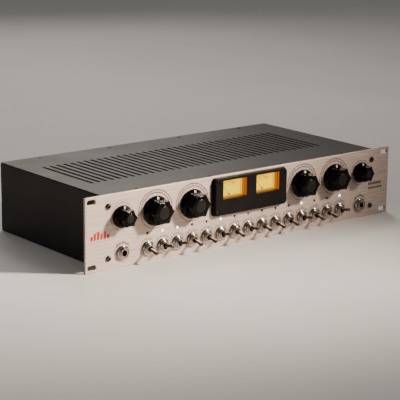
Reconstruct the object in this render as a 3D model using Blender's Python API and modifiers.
"""Two-channel rack microphone preamp, 2U high: panel, case, controls, meters, jacks and inner works.

Sizes are in millimetres and the helpers turn them into metres. Inside the model X runs along the panel,
Y runs from the panel's front face (0) to the back, and Z runs up from the bottom edge. The root empty
shifts all of it so that the world origin is the bottom centre of the whole unit.
"""

import math

import bmesh
import bpy
from mathutils import Matrix, Vector

MM = 0.001
GAP = 0.3

# Panel and case
PANEL_W, PANEL_H, PANEL_T = 482.6, 88.1, 3.2
PANEL_CHAMFER = 0.7
CASE_HALF_W = 216.0
CASE_BACK = 219.0
SHEET = 1.4
COVER_TOP = 87.3
COVER_T = 1.2
WALL_TOP = COVER_TOP - COVER_T - GAP
RAIL_DEPTH = 10.0
FLANGE_W = 13.0
FLANGE_TOP = 79.5
INSIDE = PANEL_T + GAP

# Rack slots and panel screws
SLOT_X, SLOT_Z = 232.55, (5.95, 82.15)
SLOT_LENGTH, SLOT_HEIGHT = 12.0, 6.0
PANEL_SCREW_X, PANEL_SCREW_Z, PANEL_SCREW_R = 209.75, (13.3, 74.5), 2.3

# Vent slots and screw holes of the cover
VENTS, VENT_FIRST, VENT_PITCH = 37, -189.0, 10.03
VENT_LENGTH, VENT_WIDTH, VENT_MIDDLE = 106.0, 3.7, 112.5
COVER_SCREW_X, COVER_SCREW_Y, COVER_SCREW_R = (-163.0, -57.0, 57.0, 163.0), (8.2, 211.0), 1.7
LIP_Y = (14.5, 203.5)
LIP_H = 6.0

# Row of switches with an indicator above each
SWITCHES, SWITCH_PITCH, SWITCH_Z = 15, 22.0, 16.5
SWITCHES_UP = (2, 3, 6, 8, 12, 15)
LEVER_PIVOT, LEVER_TILT = 4.4, 12.0
LEVER_LENGTH, LEVER_TIP_R, LEVER_ROOT_R, BALL_R = 15.6, 2.1, 1.5, 2.4
BUSHING_R, BUSHING_TIP, BUSHING_BORE = 5.9, 6.4, 2.9
SWITCH_NUT_R, NUT_T = 8.6, 2.6
SWITCH_BODY, SWITCH_BODY_DEPTH = 12.8, 11.9
LED_Z, LED_R, LED_OUT = 34.4, 1.5, 0.6

# Knobs: (centre x, centre z) of the four large and the two small ones
LARGE_KNOBS = ((-142.5, 59.8), (-88.0, 59.8), (88.0, 59.8), (142.5, 59.8))
SMALL_KNOBS = ((-190.0, 60.0), (190.0, 60.0))
LOBES, SIDES_PER_LOBE = 6, 4
LARGE = dict(skirt=18.0, shoulder=15.6, tip=15.5, valley=12.3, face=18.0, cap=8.0, steps=20)
SMALL = dict(skirt=13.4, shoulder=11.4, tip=10.9, valley=8.2, face=17.0, cap=5.4, steps=16)
SKIRT_BACK, SKIRT_FRONT, GRIP_BACK = 1.0, 2.4, 4.6
SPINDLE_R, SPINDLE_END, KNOB_HOLLOW, SKIRT_WALL = 3.0, 11.5, 4.0, 3.4
GRIP_EDGE, CAP_RECESS, OVERLAP = 0.8, 0.5, 0.6
POT_BUSHING_R, POT_NUT_R, POT_BORE_R, POT_BODY_R = 4.7, 7.0, 3.3, 8.3
POT_BUSHING_TIP, POT_NUT_TOP = 3.2, 2.2

# Jacks
JACK_X, JACK_Z = 190.0, 17.5
JACK_NUT_R, JACK_COLLAR_R, JACK_OUT, JACK_BORE_R, JACK_BORE_END = 8.5, 6.2, 4.8, 3.3, 23.0
JACK_BODY = (15.0, 17.0, 24.0)

# Meters
BEZEL_HALF_W, BEZEL_Z, BEZEL_OUT, BEZEL_TAPER, BEZEL_CORNER = 59.3, (38.7, 86.0), 6.0, 2.7, 5.0
BEZEL_SCREW_X, BEZEL_SCREW_Z, BEZEL_SCREW_R, BEZEL_SCREW_DEPTH, BEZEL_EDGE = 52.9, (44.2, 80.4), 1.9, 1.6, 0.7
METER_X, METER_Z = 26.2, 70.6
WINDOW_W, WINDOW_H = 37.6, 22.8
PANE = (97.4, 26.0, 1.5)
POCKET_OUT = 2.4
METER_CUT = (39.0, 24.0)
HOUSING = (44.0, 26.0, 30.0)
HOUSING_WALL, DIAL_BACK, DIAL_T = 1.6, 9.0, 0.8
NEEDLE_PIVOT_Z, NEEDLE_LENGTH, NEEDLE_Y, NEEDLE_TILT = 61.4, 18.0, 6.2, 42.0

# Inner boards
BOARD_T, CONTROL_BOARD_Y = 1.6, 15.7
MAIN_BOARD = dict(x=(-80.0, 203.0), y=(55.0, 190.0), z=10.0)
STANDOFF_IN, STANDOFF_R = 8.0, 3.0
TUBES = ((40.0, 112.0), (92.0, 112.0))
TUBE_SOCKET_R, TUBE_SOCKET_H = 11.5, 8.0
RESERVOIR_X, RESERVOIR_Y, RESERVOIR_R, RESERVOIR_H = (-60.0, -36.0, -12.0), 170.0, 9.0, 32.0
COUPLING_FROM, COUPLING_PITCH, COUPLING_R, COUPLING_H = (138.0, 130.0), 16.5, 5.0, 16.0
CHIP_FROM, CHIP = (134.0, 88.0), (8.0, 12.0, 4.0)
RELAY_FROM, RELAY_PITCH, RELAY = (-66.0, 92.0), 24.0, (14.0, 20.0, 12.0)
TOROID_X, TOROID_Y, TOROID_R = -150.0, 135.0, 43.0

# Rear connectors
XLR_Z, XLR_FLANGE = 44.0, (26.0, 31.0, 2.2)
XLR_FEMALE_X, XLR_MALE_X = (170.0, 130.0), (80.0, 40.0)
XLR_BARREL_R, XLR_BARREL_END, XLR_CAVITY_R, XLR_CAVITY_DEPTH = 11.6, 24.0, 9.4, 13.0
XLR_PIN_CIRCLE, XLR_PIN_R, XLR_HOLE_R, XLR_INSERT_R = 5.0, 1.2, 1.4, 7.8
INLET_X, INLET_Z, INLET_FLANGE, INLET_BODY = -178.0, 44.0, (50.0, 27.0, 2.7), (27.4, 20.4, 22.0)
INLET_CAVITY, PIN_SPREAD, PIN_RISE = (24.0, 16.4, 17.0), 7.0, 3.5

FRONT_REACH = LEVER_PIVOT + LEVER_LENGTH * math.cos(math.radians(LEVER_TILT))
BACK_REACH = CASE_BACK + GAP + INLET_FLANGE[2]
FACING_FRONT = (math.radians(90), 0, 0)
FACING_BACK = (math.radians(-90), 0, 0)

for old in list(bpy.data.objects):
    bpy.data.objects.remove(old)
PARTS = bpy.data.collections.new("microphone_preamp")
CUTTERS = bpy.data.collections.new("cutters")
for group in (PARTS, CUTTERS):
    bpy.context.scene.collection.children.link(group)
ROOT = bpy.data.objects.new("microphone_preamp", None)
ROOT.location.y = (FRONT_REACH - BACK_REACH) / 2 * MM
PARTS.objects.link(ROOT)


# Materials: base colour, metallic, roughness
LOOKS = {
    "aluminium_panel": ((0.72, 0.67, 0.63), 1.0, 0.34),
    "black_steel": ((0.045, 0.042, 0.042), 0.3, 0.55),
    "black_acrylic": ((0.02, 0.02, 0.02), 0.0, 0.25),
    "clear_pane": ((0.9, 0.85, 0.75), 0.0, 0.05),
    "meter_housing": ((0.5, 0.25, 0.05), 0.0, 0.5),
    "meter_dial": ((0.95, 0.75, 0.25), 0.0, 0.6),
    "needle": ((0.02, 0.02, 0.02), 0.0, 0.5),
    "nickel": ((0.75, 0.72, 0.68), 1.0, 0.18),
    "knob_phenolic": ((0.015, 0.013, 0.012), 0.0, 0.22),
    "jack_nickel": ((0.72, 0.70, 0.66), 1.0, 0.2),
    "circuit_board": ((0.03, 0.16, 0.07), 0.0, 0.5),
    "transformer": ((0.55, 0.42, 0.12), 0.0, 0.45),
    "tube_glass": ((0.8, 0.85, 0.85), 0.0, 0.05),
    "connector": ((0.05, 0.05, 0.05), 0.6, 0.4),
    "inlet_plastic": ((0.03, 0.03, 0.03), 0.0, 0.5),
}


def material(slot):
    made = bpy.data.materials.get(slot)
    if made is None:
        colour, metallic, roughness = LOOKS[slot]
        made = bpy.data.materials.new(slot)
        made.use_nodes = True
        shader = made.node_tree.nodes["Principled BSDF"]
        shader.inputs["Base Color"].default_value = (*colour, 1)
        shader.inputs["Metallic"].default_value = metallic
        shader.inputs["Roughness"].default_value = roughness
    return made


def place(name, mesh, slot=None, at=(0, 0, 0), rotation=(0, 0, 0)):
    """A node when it has a slot, and a hidden cutter or joining piece when it has none."""
    obj = bpy.data.objects.new(name, mesh)
    obj.parent = ROOT
    obj.location = Vector(at) * MM
    obj.rotation_euler = rotation
    if slot is None:
        obj.hide_render = True
        obj.display_type = "WIRE"
        CUTTERS.objects.link(obj)
    else:
        if not mesh.materials:
            mesh.materials.append(material(slot))
        PARTS.objects.link(obj)
    return obj


def finish(name, bm):
    """The mesh of bm, with its faces turned out and its round stretches smooth."""
    bmesh.ops.recalc_face_normals(bm, faces=bm.faces)
    mesh = bpy.data.meshes.new(name)
    bm.to_mesh(mesh)
    bm.free()
    mesh.shade_smooth()
    mesh.set_sharp_from_angle(angle=math.radians(35))
    return mesh


def add_box(bm, low, high):
    size = [b - a for a, b in zip(low, high)]
    centre = [(a + b) / 2 * MM for a, b in zip(low, high)]
    matrix = Matrix.Translation(centre) @ Matrix.Diagonal((*[s * MM for s in size], 1))
    return bmesh.ops.create_cube(bm, size=1, matrix=matrix)["verts"]


def box(name, low, high, slot=None):
    bm = bmesh.new()
    add_box(bm, low, high)
    return place(name, finish(name, bm), slot)


def add_round(bm, radius, centre, span, sides, turned=0.0, axis="Y"):
    """A cylinder along an axis, from span[0] to span[1] on it; centre holds the two other coordinates."""
    middle, depth = (span[0] + span[1]) / 2, span[1] - span[0]
    where = {
        "Y": Vector((centre[0], middle, centre[1])),
        "Z": Vector((centre[0], centre[1], middle)),
    }[axis]
    lay = Matrix.Rotation(math.radians(90), 4, "X") if axis == "Y" else Matrix.Identity(4)
    matrix = Matrix.Translation(where * MM) @ lay @ Matrix.Rotation(turned, 4, "Z")
    size = dict(segments=sides, radius1=radius * MM, radius2=radius * MM, depth=depth * MM)
    return bmesh.ops.create_cone(bm, cap_ends=True, matrix=matrix, **size)["verts"]


def add_slot(bm, centre, length, width, span, sides, axis):
    """A slot with round ends: a cylinder pulled apart along X, or along Y when its axis is Z."""
    verts = add_round(bm, width / 2, centre, span, sides, turned=math.pi / sides, axis=axis)
    run = 1 if axis == "Z" else 0
    for vert in verts:
        away = 1 if vert.co[run] > centre[run] * MM else -1
        vert.co[run] += away * (length - width) / 2 * MM


def turned(name, profile, steps, slot=None, at=(0, 0, 0), rotation=(0, 0, 0)):
    """A profile of (radius, height) points, from the top down its outer side, turned about its local Z."""
    mesh = bpy.data.meshes.new(name)
    points = [(radius * MM, 0, height * MM) for radius, height in profile]
    mesh.from_pydata(points, [(i, i + 1) for i in range(len(points) - 1)], [])
    obj = place(name, mesh, slot, at, rotation)
    screw = obj.modifiers.new("turn", "SCREW")
    screw.steps = screw.render_steps = steps
    screw.use_merge_vertices = True
    screw.merge_threshold = 0.00001
    return obj


def outline_plate(name, outline, thickness, slot=None, at=(0, 0, 0), rotation=(0, 0, 0)):
    """A flat outline in local X and Y, thickened by the same amount on both sides of its plane."""
    curve = bpy.data.curves.new(name, "CURVE")
    curve.dimensions = "2D"
    curve.fill_mode = "BOTH"
    curve.extrude = thickness / 2 * MM
    spline = curve.splines.new("POLY")
    spline.points.add(len(outline) - 1)
    for point, (x, y) in zip(spline.points, outline):
        point.co = (x * MM, y * MM, 0, 1)
    spline.use_cyclic_u = True
    drawn = bpy.data.objects.new(name, curve)
    PARTS.objects.link(drawn)
    bm = bmesh.new()
    bm.from_mesh(bpy.data.meshes.new_from_object(drawn.evaluated_get(bpy.context.evaluated_depsgraph_get())))
    bpy.data.objects.remove(drawn)
    bmesh.ops.remove_doubles(bm, verts=bm.verts, dist=0.00001)
    return place(name, finish(name, bm), slot, at, rotation)


def combine(target, other, operation):
    modifier = target.modifiers.new(other.name, "BOOLEAN")
    modifier.operation = operation
    modifier.solver = "EXACT"
    modifier.object = other


def cut(target, other):
    combine(target, other, "DIFFERENCE")


def join(target, *others):
    for other in others:
        combine(target, other, "UNION")


def settled(obj):
    """The object's evaluated mesh, for pieces that are repeated."""
    graph = bpy.context.evaluated_depsgraph_get()
    mesh = bpy.data.meshes.new_from_object(obj.evaluated_get(graph))
    mesh.set_sharp_from_angle(angle=math.radians(35))
    return mesh


def switch_x(number):
    return (number - (SWITCHES + 1) / 2) * SWITCH_PITCH


def front_panel():
    bm = bmesh.new()
    add_box(bm, (-PANEL_W / 2, 0, 0), (PANEL_W / 2, PANEL_T, PANEL_H))
    rim = [e for e in bm.edges if all(v.co.y < PANEL_T / 2 * MM for v in e.verts)]
    bmesh.ops.bevel(bm, geom=rim, offset=PANEL_CHAMFER * MM, segments=1, affect="EDGES", profile=0.5)
    panel = place("front_panel", finish("front_panel", bm), "aluminium_panel")
    through = (-2, PANEL_T + 2)
    bm = bmesh.new()
    for side in (-1, 1):
        for z in SLOT_Z:
            add_slot(bm, (side * SLOT_X, z), SLOT_LENGTH, SLOT_HEIGHT, through, 12, "Y")
        for z in PANEL_SCREW_Z:
            add_round(bm, PANEL_SCREW_R, (side * PANEL_SCREW_X, z), through, 8)
        add_round(bm, BUSHING_R + GAP, (side * JACK_X, JACK_Z), through, 16)
        half_w, half_h = METER_CUT[0] / 2, METER_CUT[1] / 2
        middle = side * METER_X
        low = (middle - half_w, through[0], METER_Z - half_h)
        add_box(bm, low, (middle + half_w, through[1], METER_Z + half_h))
    for number in range(1, SWITCHES + 1):
        add_round(bm, BUSHING_R + GAP, (switch_x(number), SWITCH_Z), through, 10)
        add_round(bm, LED_R + GAP, (switch_x(number), LED_Z), through, 6)
    for centre in LARGE_KNOBS + SMALL_KNOBS:
        add_round(bm, POT_BUSHING_R + GAP, centre, through, 12)
    cut(panel, place("cut_front_panel", finish("cut_front_panel", bm)))


def chassis_tray():
    """Bottom and side walls as one folded U, with flanges for the two panels and rails for the cover."""
    outer, inner = CASE_HALF_W, CASE_HALF_W - SHEET
    fold = [(-outer, 0), (outer, 0), (outer, WALL_TOP), (inner, WALL_TOP)]
    fold += [(inner, SHEET), (-inner, SHEET), (-inner, WALL_TOP), (-outer, WALL_TOP)]
    depth = CASE_BACK - INSIDE
    middle = (0, (CASE_BACK + INSIDE) / 2, 0)
    tray = outline_plate("chassis_tray", fold, depth, "black_steel", middle, FACING_FRONT)
    sunk = SHEET / 2
    rear = CASE_BACK - SHEET - GAP
    for side in (-1, 1):
        xs = sorted((side * (outer - FLANGE_W), side * (outer - sunk)))
        low_front, high_front = (xs[0], INSIDE + 0.1, sunk), (xs[1], INSIDE + SHEET, FLANGE_TOP)
        low_rear, high_rear = (xs[0], rear - SHEET, sunk), (xs[1], rear, FLANGE_TOP)
        join(tray, box(f"flange_front_{side}", low_front, high_front))
        join(tray, box(f"flange_rear_{side}", low_rear, high_rear))
    for name, start in (("rail_front", INSIDE + 0.1), ("rail_rear", rear - RAIL_DEPTH)):
        low = (sunk - outer, start, WALL_TOP - SHEET - 0.1)
        high = (outer - sunk, start + RAIL_DEPTH, WALL_TOP - 0.1)
        join(tray, box(name, low, high))


def rear_panel():
    half = CASE_HALF_W - SHEET - GAP
    low, high = (-half, CASE_BACK - SHEET, SHEET + GAP), (half, CASE_BACK, WALL_TOP)
    panel = box("rear_panel", low, high, "black_steel")
    through = (CASE_BACK - 5, CASE_BACK + 3)
    bm = bmesh.new()
    for x in XLR_FEMALE_X + XLR_MALE_X:
        add_round(bm, XLR_BARREL_R + GAP, (x, XLR_Z), through, 20)
    half_w, half_h = INLET_BODY[0] / 2 + GAP, INLET_BODY[1] / 2 + GAP
    low = (INLET_X - half_w, through[0], INLET_Z - half_h)
    add_box(bm, low, (INLET_X + half_w, through[1], INLET_Z + half_h))
    cut(panel, place("cut_rear_panel", finish("cut_rear_panel", bm)))


def top_cover():
    low, high = (-CASE_HALF_W, INSIDE, COVER_TOP - COVER_T), (CASE_HALF_W, CASE_BACK, COVER_TOP)
    cover = box("top_cover", low, high, "black_steel")
    outside = CASE_HALF_W - SHEET - GAP
    for side in (-1, 1):
        xs = sorted((side * outside, side * (outside - COVER_T)))
        low = (xs[0], LIP_Y[0], COVER_TOP - COVER_T - LIP_H)
        join(cover, box(f"cover_lip_{side}", low, (xs[1], LIP_Y[1], COVER_TOP - COVER_T / 2)))
    through = (COVER_TOP - COVER_T - 2, COVER_TOP + 2)
    bm = bmesh.new()
    for index in range(VENTS):
        centre = (VENT_FIRST + index * VENT_PITCH, VENT_MIDDLE)
        add_slot(bm, centre, VENT_LENGTH, VENT_WIDTH, through, 6, "Z")
    for x in COVER_SCREW_X:
        for y in COVER_SCREW_Y:
            add_round(bm, COVER_SCREW_R, (x, y), through, 6, axis="Z")
    cut(cover, place("cut_top_cover", finish("cut_top_cover", bm)))


def meter_bezel():
    """Black frame over both meters: drafted sides, round corners, a pocket behind for the pane."""
    bm = bmesh.new()
    verts = add_box(bm, (-BEZEL_HALF_W, -BEZEL_OUT, BEZEL_Z[0]), (BEZEL_HALF_W, -GAP, BEZEL_Z[1]))
    middle_z = sum(BEZEL_Z) / 2 * MM
    front = [v for v in verts if v.co.y < -BEZEL_OUT / 2 * MM]
    for vert in front:
        vert.co.x -= math.copysign(BEZEL_TAPER * MM, vert.co.x)
        vert.co.z -= math.copysign(BEZEL_TAPER * MM / 2, vert.co.z - middle_z)
    corners = [e for e in bm.edges if abs(e.verts[0].co.y - e.verts[1].co.y) > MM]
    bmesh.ops.bevel(bm, geom=corners, offset=BEZEL_CORNER * MM, segments=3, affect="EDGES", profile=0.5)
    rim = [e for e in bm.edges if all(v.co.y < (0.1 - BEZEL_OUT) * MM for v in e.verts)]
    bmesh.ops.bevel(bm, geom=rim, offset=BEZEL_EDGE * MM, segments=1, affect="EDGES", profile=0.5)
    bezel = place("meter_bezel", finish("meter_bezel", bm), "black_acrylic")
    pane_w, pane_h = PANE[0] / 2 + GAP, PANE[1] / 2 + GAP
    low, high = (-pane_w, -POCKET_OUT, METER_Z - pane_h), (pane_w, 2, METER_Z + pane_h)
    cut(bezel, box("cut_bezel_pocket", low, high))
    bm = bmesh.new()
    for side in (-1, 1):
        low = (side * METER_X - WINDOW_W / 2, -BEZEL_OUT - 2, METER_Z - WINDOW_H / 2)
        add_box(bm, low, (side * METER_X + WINDOW_W / 2, -POCKET_OUT + 1, METER_Z + WINDOW_H / 2))
        for z in BEZEL_SCREW_Z:
            span = (-BEZEL_OUT - 2, BEZEL_SCREW_DEPTH - BEZEL_OUT)
            add_round(bm, BEZEL_SCREW_R, (side * BEZEL_SCREW_X, z), span, 10)
    cut(bezel, place("cut_bezel_windows", finish("cut_bezel_windows", bm)))


def meter_window():
    width, height, thickness = PANE
    back = -POCKET_OUT + GAP + thickness
    low = (-width / 2, -POCKET_OUT + GAP, METER_Z - height / 2)
    box("meter_window", low, (width / 2, back, METER_Z + height / 2), "clear_pane")


def meter(number, middle):
    """Housing open to the front, the dial on its own floor, and the needle on its pivot."""
    width, height, depth = HOUSING
    low = (middle - width / 2, INSIDE, METER_Z - height / 2)
    high = (middle + width / 2, INSIDE + depth, METER_Z + height / 2)
    housing = box(f"meter_housing_{number}", low, high, "meter_housing")
    wall = HOUSING_WALL
    low = (low[0] + wall, INSIDE - 2, low[2] + wall)
    high = (high[0] - wall, DIAL_BACK + GAP, high[2] - wall)
    cut(housing, box(f"cut_housing_{number}", low, high))
    low = (low[0] + GAP, DIAL_BACK - DIAL_T, low[2] + GAP)
    high = (high[0] - GAP, DIAL_BACK, high[2] - GAP)
    box(f"meter_dial_{number}", low, high, "meter_dial")
    blade = [(-0.35, 0), (0.35, 0), (0.2, NEEDLE_LENGTH), (-0.2, NEEDLE_LENGTH)]
    pivot = (middle, NEEDLE_Y, NEEDLE_PIVOT_Z)
    lean = (math.radians(90), math.radians(-NEEDLE_TILT), 0)
    needle = outline_plate(f"meter_needle_{number}", blade, 0.5, "needle", pivot, lean)
    round_hub = [(0, 0.9), (1.6, 0.9), (1.6, -0.9), (0, -0.9)]
    join(needle, turned(f"needle_hub_{number}", round_hub, 10, None, pivot, lean))


def switch_body():
    """Bushing with a flared mouth, hex nut and the body behind the panel, along local Z outwards."""
    profile = [(0, BUSHING_TIP), (4.7, BUSHING_TIP), (BUSHING_R, BUSHING_TIP - 1.8)]
    profile += [(BUSHING_R, -INSIDE - 1), (0, -INSIDE - 1)]
    body = turned("switch_bushing", profile, 10, None, (0, 0, 0), FACING_FRONT)
    bm = bmesh.new()
    add_round(bm, SWITCH_NUT_R, (0, 0), (-GAP - NUT_T, -GAP), 6, turned=math.radians(30))
    nut = place("switch_nut", finish("switch_nut", bm))
    half = SWITCH_BODY / 2
    case = box("switch_case", (-half, INSIDE, -half), (half, INSIDE + SWITCH_BODY_DEPTH, half))
    join(body, nut, case)
    bore = [(0, BUSHING_TIP + 1), (BUSHING_BORE + 0.3, BUSHING_TIP + 1), (BUSHING_BORE, 1.0), (0, 1.0)]
    cut(body, turned("cut_switch_bore", bore, 10, None, (0, 0, 0), FACING_FRONT))
    return body


def switches():
    """Fifteen switch bodies, each with its bat lever resting up or down on the pivot ball."""
    body = switch_body()
    mesh = settled(body)
    mesh.transform(Matrix.Rotation(FACING_FRONT[0], 4, "X"))
    tip = LEVER_LENGTH
    lever = [(0, tip), (1.4, tip - 0.4), (LEVER_TIP_R, tip - 1.7), (LEVER_ROOT_R, 2.2)]
    lever += [(BALL_R, 0), (1.2, -2.2), (0, -2.4)]
    for number in range(1, SWITCHES + 1):
        x = switch_x(number)
        place(f"switch_{number:02d}", mesh, "nickel", (x, 0, SWITCH_Z))
        tilt = LEVER_TILT if number in SWITCHES_UP else -LEVER_TILT
        rotation = (math.radians(90 - tilt), 0, 0)
        turned(f"lever_{number:02d}", lever, 8, "nickel", (x, -LEVER_PIVOT, SWITCH_Z), rotation)


def lobed_outline(tip, valley):
    """A round outline whose radius swells LOBES times, with the first valley at the top."""
    points = []
    count = LOBES * SIDES_PER_LOBE
    for index in range(count):
        angle = (index + 0.5) / count * 2 * math.pi
        swell = (1 + math.cos(LOBES * angle)) / 2
        radius = valley + (tip - valley) * swell
        points.append((radius * math.cos(angle), radius * math.sin(angle)))
    return points


def knob(name, centre, shape):
    """Skirt, hollow behind for the nut, spindle, and a lobed grip; its origin is on the spindle's axis."""
    at = (centre[0], 0, centre[1])
    skirt, shoulder, core = shape["skirt"], shape["shoulder"], GRIP_BACK + OVERLAP
    hollow = shoulder - SKIRT_WALL
    profile = [(0, core), (shoulder, core), (skirt, SKIRT_FRONT), (skirt, SKIRT_BACK)]
    profile += [(hollow, SKIRT_BACK), (hollow, KNOB_HOLLOW), (SPINDLE_R, KNOB_HOLLOW)]
    profile += [(SPINDLE_R, -SPINDLE_END), (0, -SPINDLE_END)]
    body = turned(name, profile, shape["steps"], "knob_phenolic", at, FACING_FRONT)
    thickness = shape["face"] - GRIP_BACK
    middle = (centre[0], -(shape["face"] + GRIP_BACK) / 2, centre[1])
    outline = lobed_outline(shape["tip"], shape["valley"])
    grip = outline_plate(f"grip_{name}", outline, thickness, None, middle, FACING_FRONT)
    bevel = grip.modifiers.new("edge", "BEVEL")
    bevel.width = GRIP_EDGE * MM
    bevel.limit_method = "ANGLE"
    bevel.angle_limit = math.radians(60)
    join(body, grip)
    above, floor = shape["face"] + 1, shape["face"] - CAP_RECESS
    sunk = [(0, above), (shape["cap"], above), (shape["cap"], floor), (0, floor)]
    cut(body, turned(f"recess_{name}", sunk, shape["steps"], None, at, FACING_FRONT))


def knobs():
    for number, centre in enumerate(LARGE_KNOBS, 1):
        knob(f"knob_large_{number}", centre, LARGE)
    for number, centre in enumerate(SMALL_KNOBS, 1):
        knob(f"knob_small_{number}", centre, SMALL)


def jacks():
    """Quarter-inch sockets: body behind the panel, bushing through it, nut and collar in front."""
    profile = [(0, JACK_OUT), (JACK_COLLAR_R, JACK_OUT), (JACK_COLLAR_R, NUT_T + GAP)]
    profile += [(JACK_NUT_R, NUT_T + GAP), (JACK_NUT_R, GAP), (BUSHING_R, GAP)]
    profile += [(BUSHING_R, -INSIDE - 2), (0, -INSIDE - 2)]
    mouth, end = JACK_OUT + 2, -JACK_BORE_END
    bore = [(0, mouth), (JACK_BORE_R, mouth), (JACK_BORE_R, end), (0, end)]
    width, height, depth = JACK_BODY
    for number, x in enumerate((-JACK_X, JACK_X), 1):
        low = (x - width / 2, INSIDE, JACK_Z - height / 2)
        high = (x + width / 2, INSIDE + depth, JACK_Z + height / 2)
        jack = box(f"jack_{number}", low, high, "jack_nickel")
        at = (x, 0, JACK_Z)
        join(jack, turned(f"jack_bushing_{number}", profile, 16, None, at, FACING_FRONT))
        cut(jack, turned(f"cut_jack_{number}", bore, 16, None, at, FACING_FRONT))


def control_board():
    """Board behind the panel with the six potentiometers and the row of indicators soldered to it."""
    half = [(176, 4), (176, 30), (201, 34), (201, 76), (62, 76), (60, 52)]
    outline = half + [(-x, z) for x, z in reversed(half)]
    middle = CONTROL_BOARD_Y + BOARD_T / 2
    board = outline_plate("control_board", outline, BOARD_T, "circuit_board", (0, middle, 0), FACING_FRONT)
    deep = -CONTROL_BOARD_Y - BOARD_T / 2
    bore_end = -SPINDLE_END - GAP
    tip, nut = POT_BUSHING_TIP, POT_NUT_TOP
    profile = [(0, bore_end), (POT_BORE_R, bore_end), (POT_BORE_R, tip), (POT_BUSHING_R, tip)]
    profile += [(POT_BUSHING_R, nut), (POT_NUT_R, nut), (POT_NUT_R, GAP), (POT_BUSHING_R, GAP)]
    profile += [(POT_BUSHING_R, -INSIDE), (POT_BODY_R, -INSIDE), (POT_BODY_R, deep), (0, deep)]
    for number, (x, z) in enumerate(LARGE_KNOBS + SMALL_KNOBS, 1):
        join(board, turned(f"potentiometer_{number}", profile, 10, None, (x, 0, z), FACING_FRONT))
    bm = bmesh.new()
    for number in range(1, SWITCHES + 1):
        add_round(bm, LED_R, (switch_x(number), LED_Z), (-LED_OUT, -deep), 6)
    join(board, place("indicators", finish("indicators", bm)))


def main_board():
    """Board on four stand-offs, with its tall components and the two tube sockets."""
    (x0, x1), (y0, y1), z = MAIN_BOARD["x"], MAIN_BOARD["y"], MAIN_BOARD["z"]
    board = box("main_board", (x0, y0, z), (x1, y1, z + BOARD_T), "circuit_board")
    inside, deck = z + BOARD_T / 2, z + BOARD_T
    bm = bmesh.new()
    for x in (x0 + STANDOFF_IN, x1 - STANDOFF_IN):
        for y in (y0 + STANDOFF_IN, y1 - STANDOFF_IN):
            add_round(bm, STANDOFF_R, (x, y), (SHEET + GAP, inside), 8, axis="Z")
    for centre in TUBES:
        add_round(bm, TUBE_SOCKET_R, centre, (inside, deck + TUBE_SOCKET_H), 16, axis="Z")
    for x in RESERVOIR_X:
        add_round(bm, RESERVOIR_R, (x, RESERVOIR_Y), (inside, deck + RESERVOIR_H), 12, axis="Z")
    for column in range(4):
        x, y = COUPLING_FROM[0] + column * COUPLING_PITCH, COUPLING_FROM[1]
        add_round(bm, COUPLING_R, (x, y), (inside, deck + COUPLING_H), 10, axis="Z")
        x, y = CHIP_FROM[0] + column * COUPLING_PITCH, CHIP_FROM[1]
        add_box(bm, (x, y, inside), (x + CHIP[0], y + CHIP[1], deck + CHIP[2]))
        x, y = RELAY_FROM[0] + column * RELAY_PITCH, RELAY_FROM[1]
        add_box(bm, (x, y, inside), (x + RELAY[0], y + RELAY[1], deck + RELAY[2]))
    join(board, place("main_board_parts", finish("main_board_parts", bm)))


def tubes():
    base = MAIN_BOARD["z"] + BOARD_T + TUBE_SOCKET_H + GAP
    profile = [(0, 51), (1.4, 50), (2.2, 46.5), (7.5, 45), (10, 41), (10.2, 3), (9.4, 0), (0, 0)]
    for number, (x, y) in enumerate(TUBES, 1):
        turned(f"tube_{number}", profile, 16, "tube_glass", (x, y, base))


def power_transformer():
    """Ring core under a dished clamping plate and its bolt."""
    radius = TOROID_R
    profile = [(0, 46), (4, 46), (4, 42), (22, 40), (22, 38.5), (radius - 6, 38.5), (radius, 33)]
    profile += [(radius, 5), (radius - 6, 0), (0, 0)]
    turned("power_transformer", profile, 24, "transformer", (TOROID_X, TOROID_Y, SHEET + GAP))


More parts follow.
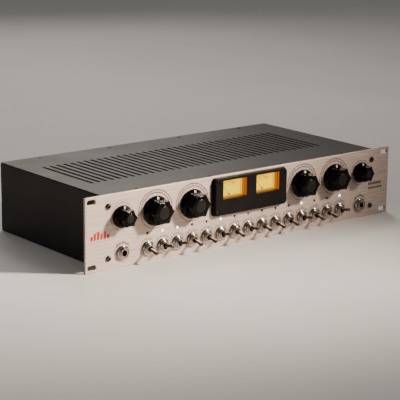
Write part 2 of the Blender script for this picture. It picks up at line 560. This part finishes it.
def xlr_shell(name, kind):
    """Square flange and barrel, along local Z out of the rear; male has three pins, female an insert."""
    width, height, thickness = XLR_FLANGE
    floor = thickness - XLR_CAVITY_DEPTH
    barrel = [(0, thickness - 0.4), (XLR_BARREL_R, thickness - 0.4), (XLR_BARREL_R, -XLR_BARREL_END)]
    barrel.append((0, -XLR_BARREL_END))
    shell = turned(name, barrel, 20)
    bm = bmesh.new()
    add_box(bm, (-width / 2, -height / 2, 0), (width / 2, height / 2, thickness))
    uprights = [e for e in bm.edges if abs(e.verts[0].co.z - e.verts[1].co.z) > MM]
    bmesh.ops.bevel(bm, geom=uprights, offset=3 * MM, segments=2, affect="EDGES", profile=0.5)
    join(shell, place(f"flange_{name}", finish(name, bm)))
    bm = bmesh.new()
    add_round(bm, XLR_CAVITY_R, (0, 0), (floor, thickness + 2), 20, axis="Z")
    cut(shell, place(f"cavity_{name}", finish(name, bm)))
    inner = bmesh.new()
    angles = [math.radians(90 + 120 * k) for k in range(3)]
    contacts = [(XLR_PIN_CIRCLE * math.cos(a), XLR_PIN_CIRCLE * math.sin(a)) for a in angles]
    if kind == "male":
        for centre in contacts:
            add_round(inner, XLR_PIN_R, centre, (floor - 1, thickness - 1.5), 8, axis="Z")
        join(shell, place(f"pins_{name}", finish(name, inner)))
        return shell
    add_round(inner, XLR_INSERT_R, (0, 0), (floor - 1, thickness - 0.5), 16, axis="Z")
    join(shell, place(f"insert_{name}", finish(name, inner)))
    holes = bmesh.new()
    for centre in contacts:
        add_round(holes, XLR_HOLE_R, centre, (thickness - 8, thickness + 2), 8, axis="Z")
    cut(shell, place(f"holes_{name}", finish(name, holes)))
    return shell


def xlr_connectors():
    for kind, places in (("female", XLR_FEMALE_X), ("male", XLR_MALE_X)):
        mesh = settled(xlr_shell(f"xlr_{kind}_shell", kind))
        for number, x in enumerate(places, 1):
            place(f"xlr_{kind}_{number}", mesh, "connector", (x, CASE_BACK + GAP, XLR_Z), FACING_BACK)


def mains_inlet():
    """Flanged inlet whose cavity holds three flat contacts; the cord is a separate article."""
    face = CASE_BACK + GAP
    width, height, thickness = INLET_FLANGE
    low = (INLET_X - width / 2, face, INLET_Z - height / 2)
    high = (INLET_X + width / 2, face + thickness, INLET_Z + height / 2)
    inlet = box("mains_inlet", low, high, "inlet_plastic")
    half_w, half_h, depth = INLET_BODY[0] / 2, INLET_BODY[1] / 2, INLET_BODY[2]
    low = (INLET_X - half_w, CASE_BACK - depth, INLET_Z - half_h)
    join(inlet, box("inlet_body", low, (INLET_X + half_w, face + thickness / 2, INLET_Z + half_h)))
    half_w, half_h, depth = INLET_CAVITY[0] / 2, INLET_CAVITY[1] / 2, INLET_CAVITY[2]
    floor = face + thickness - depth
    low = (INLET_X - half_w, floor, INLET_Z - half_h)
    cut(inlet, box("cut_inlet", low, (INLET_X + half_w, face + thickness + 2, INLET_Z + half_h)))
    bm = bmesh.new()
    for x, z in ((-PIN_SPREAD, -PIN_RISE / 2), (0, PIN_RISE / 2), (PIN_SPREAD, -PIN_RISE / 2)):
        low = (INLET_X + x - 1, floor - 1, INLET_Z + z - 2)
        add_box(bm, low, (INLET_X + x + 1, face + thickness - 2, INLET_Z + z + 2))
    join(inlet, place("inlet_pins", finish("inlet_pins", bm)))


front_panel()
chassis_tray()
rear_panel()
top_cover()
meter_bezel()
meter_window()
for which, where in ((1, -METER_X), (2, METER_X)):
    meter(which, where)
switches()
knobs()
jacks()
control_board()
main_board()
tubes()
power_transformer()
xlr_connectors()
mains_inlet()
